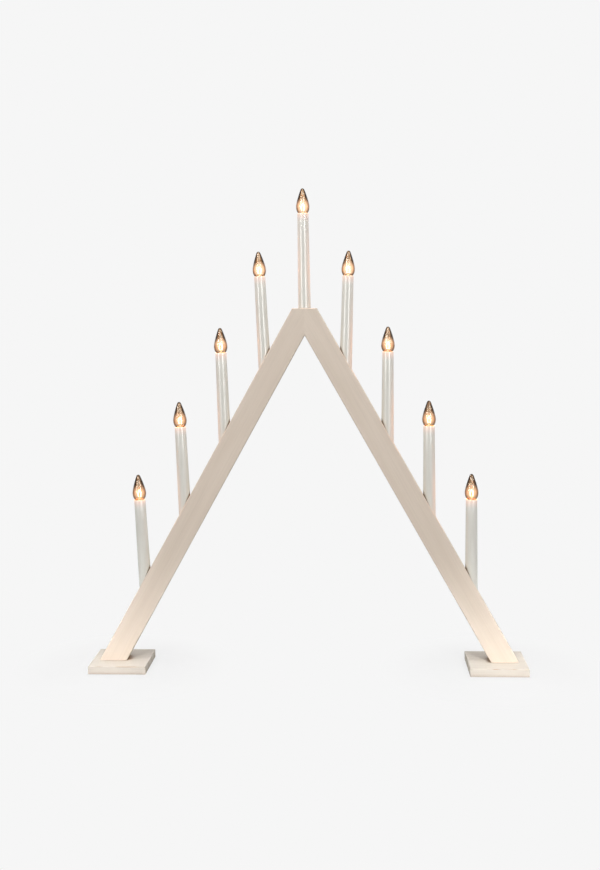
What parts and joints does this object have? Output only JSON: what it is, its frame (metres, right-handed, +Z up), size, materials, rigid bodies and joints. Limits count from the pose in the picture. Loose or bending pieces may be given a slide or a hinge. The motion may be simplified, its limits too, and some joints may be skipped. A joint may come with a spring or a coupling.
{
  "type": "candle arch",
  "caption": "A-shaped wooden electric candle arch on two square feet, with plastic candle tubes and flame-shaped screw-in bulbs wired in series.",
  "frame": {"origin": "on the surface that the arch stands on, under the middle between its two feet", "axes": "+Z up, +X to the right seen from the front, the front face looks towards -Y"},
  "size_m": [0.4542, 0.06, 0.5049],
  "materials": {
    "white_glazed_wood": "cream-white glaze, satin",
    "beech_dowel": "bare beech",
    "zinc_steel": "zinc plated",
    "felt": "dark felt",
    "black_rubber": "matt",
    "brass_fitting": "plain brass",
    "brown_laminate": "pressed laminate",
    "white_wire_sheath": "matt sheath",
    "tinned_crimp": "tinned",
    "white_tube_plastic": "satin white moulding",
    "clear_bulb_glass": "clear blown glass",
    "lit_filament": "glowing",
    "nickel_brass_cap": "rolled brass",
    "black_glass_insulator": "vitrified"
  },
  "bodies": {
    "arch": {"left_leg": "white_glazed_wood", "right_leg": "white_glazed_wood", "left_foot": "white_glazed_wood", "right_foot": "white_glazed_wood", "groove_covers": "white_glazed_wood", "apex_dowels": "beech_dowel", "foot_screws": "zinc_steel", "foot_pads": "felt", "cord_grommet": "black_rubber", "screw_shells": "brass_fitting", "centre_contacts": "brass_fitting", "socket_discs": "brown_laminate", "link_wires": "white_wire_sheath", "feed_wires": "white_wire_sheath", "wire_splices": "tinned_crimp", "candle_1": "white_tube_plastic", "candle_2": "white_tube_plastic", "candle_3": "white_tube_plastic", "candle_4": "white_tube_plastic", "candle_5": "white_tube_plastic", "candle_6": "white_tube_plastic", "candle_7": "white_tube_plastic", "candle_8": "white_tube_plastic", "candle_9": "white_tube_plastic"},
    "bulb_1_base": {"bulb_1_contact": "black_glass_insulator"},
    "bulb_1": {"bulb_1_glass": "clear_bulb_glass", "bulb_1_filament": "lit_filament", "bulb_1_cap": "nickel_brass_cap"},
    "bulb_2_base": {"bulb_2_contact": "black_glass_insulator"},
    "bulb_2": {"bulb_2_glass": "clear_bulb_glass", "bulb_2_filament": "lit_filament", "bulb_2_cap": "nickel_brass_cap"},
    "bulb_3_base": {"bulb_3_contact": "black_glass_insulator"},
    "bulb_3": {"bulb_3_glass": "clear_bulb_glass", "bulb_3_filament": "lit_filament", "bulb_3_cap": "nickel_brass_cap"},
    "bulb_4_base": {"bulb_4_contact": "black_glass_insulator"},
    "bulb_4": {"bulb_4_glass": "clear_bulb_glass", "bulb_4_filament": "lit_filament", "bulb_4_cap": "nickel_brass_cap"},
    "bulb_5_base": {"bulb_5_contact": "black_glass_insulator"},
    "bulb_5": {"bulb_5_glass": "clear_bulb_glass", "bulb_5_filament": "lit_filament", "bulb_5_cap": "nickel_brass_cap"},
    "bulb_6_base": {"bulb_6_contact": "black_glass_insulator"},
    "bulb_6": {"bulb_6_glass": "clear_bulb_glass", "bulb_6_filament": "lit_filament", "bulb_6_cap": "nickel_brass_cap"},
    "bulb_7_base": {"bulb_7_contact": "black_glass_insulator"},
    "bulb_7": {"bulb_7_glass": "clear_bulb_glass", "bulb_7_filament": "lit_filament", "bulb_7_cap": "nickel_brass_cap"},
    "bulb_8_base": {"bulb_8_contact": "black_glass_insulator"},
    "bulb_8": {"bulb_8_glass": "clear_bulb_glass", "bulb_8_filament": "lit_filament", "bulb_8_cap": "nickel_brass_cap"},
    "bulb_9_base": {"bulb_9_contact": "black_glass_insulator"},
    "bulb_9": {"bulb_9_glass": "clear_bulb_glass", "bulb_9_filament": "lit_filament", "bulb_9_cap": "nickel_brass_cap"}
  },
  "joints": [
    {"name": "bulb_1_rise", "type": "slide", "parent": "arch", "child": "bulb_1_base", "axis": [-0.0593, 0, 0.9982], "range_m": [0, 0.00544]},
    {"name": "bulb_1_turn", "type": "hinge", "parent": "bulb_1_base", "child": "bulb_1", "pos_m": [-0.17696, 0, 0.17711], "axis": [-0.0593, 0, 0.9982], "range_deg": [0, 1080]},
    {"name": "bulb_2_rise", "type": "slide", "parent": "arch", "child": "bulb_2_base", "axis": [-0.0471, 0, 0.9989], "range_m": [0, 0.00544]},
    {"name": "bulb_2_turn", "type": "hinge", "parent": "bulb_2_base", "child": "bulb_2", "pos_m": [-0.13294, 0, 0.2541], "axis": [-0.0471, 0, 0.9989], "range_deg": [0, 1080]},
    {"name": "bulb_3_rise", "type": "slide", "parent": "arch", "child": "bulb_3_base", "axis": [-0.0349, 0, 0.9994], "range_m": [0, 0.00544]},
    {"name": "bulb_3_turn", "type": "hinge", "parent": "bulb_3_base", "child": "bulb_3", "pos_m": [-0.08896, 0, 0.33216], "axis": [-0.0349, 0, 0.9994], "range_deg": [0, 1080]},
    {"name": "bulb_4_rise", "type": "slide", "parent": "arch", "child": "bulb_4_base", "axis": [-0.0471, 0, 0.9989], "range_m": [0, 0.00544]},
    {"name": "bulb_4_turn", "type": "hinge", "parent": "bulb_4_base", "child": "bulb_4", "pos_m": [-0.04715, 0, 0.41238], "axis": [-0.0471, 0, 0.9989], "range_deg": [0, 1080]},
    {"name": "bulb_5_rise", "type": "slide", "parent": "arch", "child": "bulb_5_base", "axis": [-0.0087, 0, 1], "range_m": [0, 0.00544]},
    {"name": "bulb_5_turn", "type": "hinge", "parent": "bulb_5_base", "child": "bulb_5", "pos_m": [-0.00087, 0, 0.47861], "axis": [-0.0087, 0, 1], "range_deg": [0, 1080]},
    {"name": "bulb_6_rise", "type": "slide", "parent": "arch", "child": "bulb_6_base", "axis": [0.0349, 0, 0.9994], "range_m": [0, 0.00544]},
    {"name": "bulb_6_turn", "type": "hinge", "parent": "bulb_6_base", "child": "bulb_6", "pos_m": [0.04607, 0, 0.41243], "axis": [0.0349, 0, 0.9994], "range_deg": [0, 1080]},
    {"name": "bulb_7_rise", "type": "slide", "parent": "arch", "child": "bulb_7_base", "axis": [0.014, 0, 0.9999], "range_m": [0, 0.00544]},
    {"name": "bulb_7_turn", "type": "hinge", "parent": "bulb_7_base", "child": "bulb_7", "pos_m": [0.08718, 0, 0.3322], "axis": [0.014, 0, 0.9999], "range_deg": [0, 1080]},
    {"name": "bulb_8_rise", "type": "slide", "parent": "arch", "child": "bulb_8_base", "axis": [0.0052, 0, 1], "range_m": [0, 0.00544]},
    {"name": "bulb_8_turn", "type": "hinge", "parent": "bulb_8_base", "child": "bulb_8", "pos_m": [0.12944, 0, 0.25419], "axis": [0.0052, 0, 1], "range_deg": [0, 1080]},
    {"name": "bulb_9_rise", "type": "slide", "parent": "arch", "child": "bulb_9_base", "axis": [0.0122, 0, 0.9999], "range_m": [0, 0.00544]},
    {"name": "bulb_9_turn", "type": "hinge", "parent": "bulb_9_base", "child": "bulb_9", "pos_m": [0.17302, 0, 0.17725], "axis": [0.0122, 0, 0.9999], "range_deg": [0, 1080]}
  ],
  "couplings": [
    {"joint": "bulb_1_turn", "follows": "bulb_1_rise", "rad_per_m": 3463.7},
    {"joint": "bulb_2_turn", "follows": "bulb_2_rise", "rad_per_m": 3463.7},
    {"joint": "bulb_3_turn", "follows": "bulb_3_rise", "rad_per_m": 3463.7},
    {"joint": "bulb_4_turn", "follows": "bulb_4_rise", "rad_per_m": 3463.7},
    {"joint": "bulb_5_turn", "follows": "bulb_5_rise", "rad_per_m": 3463.7},
    {"joint": "bulb_6_turn", "follows": "bulb_6_rise", "rad_per_m": 3463.7},
    {"joint": "bulb_7_turn", "follows": "bulb_7_rise", "rad_per_m": 3463.7},
    {"joint": "bulb_8_turn", "follows": "bulb_8_rise", "rad_per_m": 3463.7},
    {"joint": "bulb_9_turn", "follows": "bulb_9_rise", "rad_per_m": 3463.7}
  ]
}
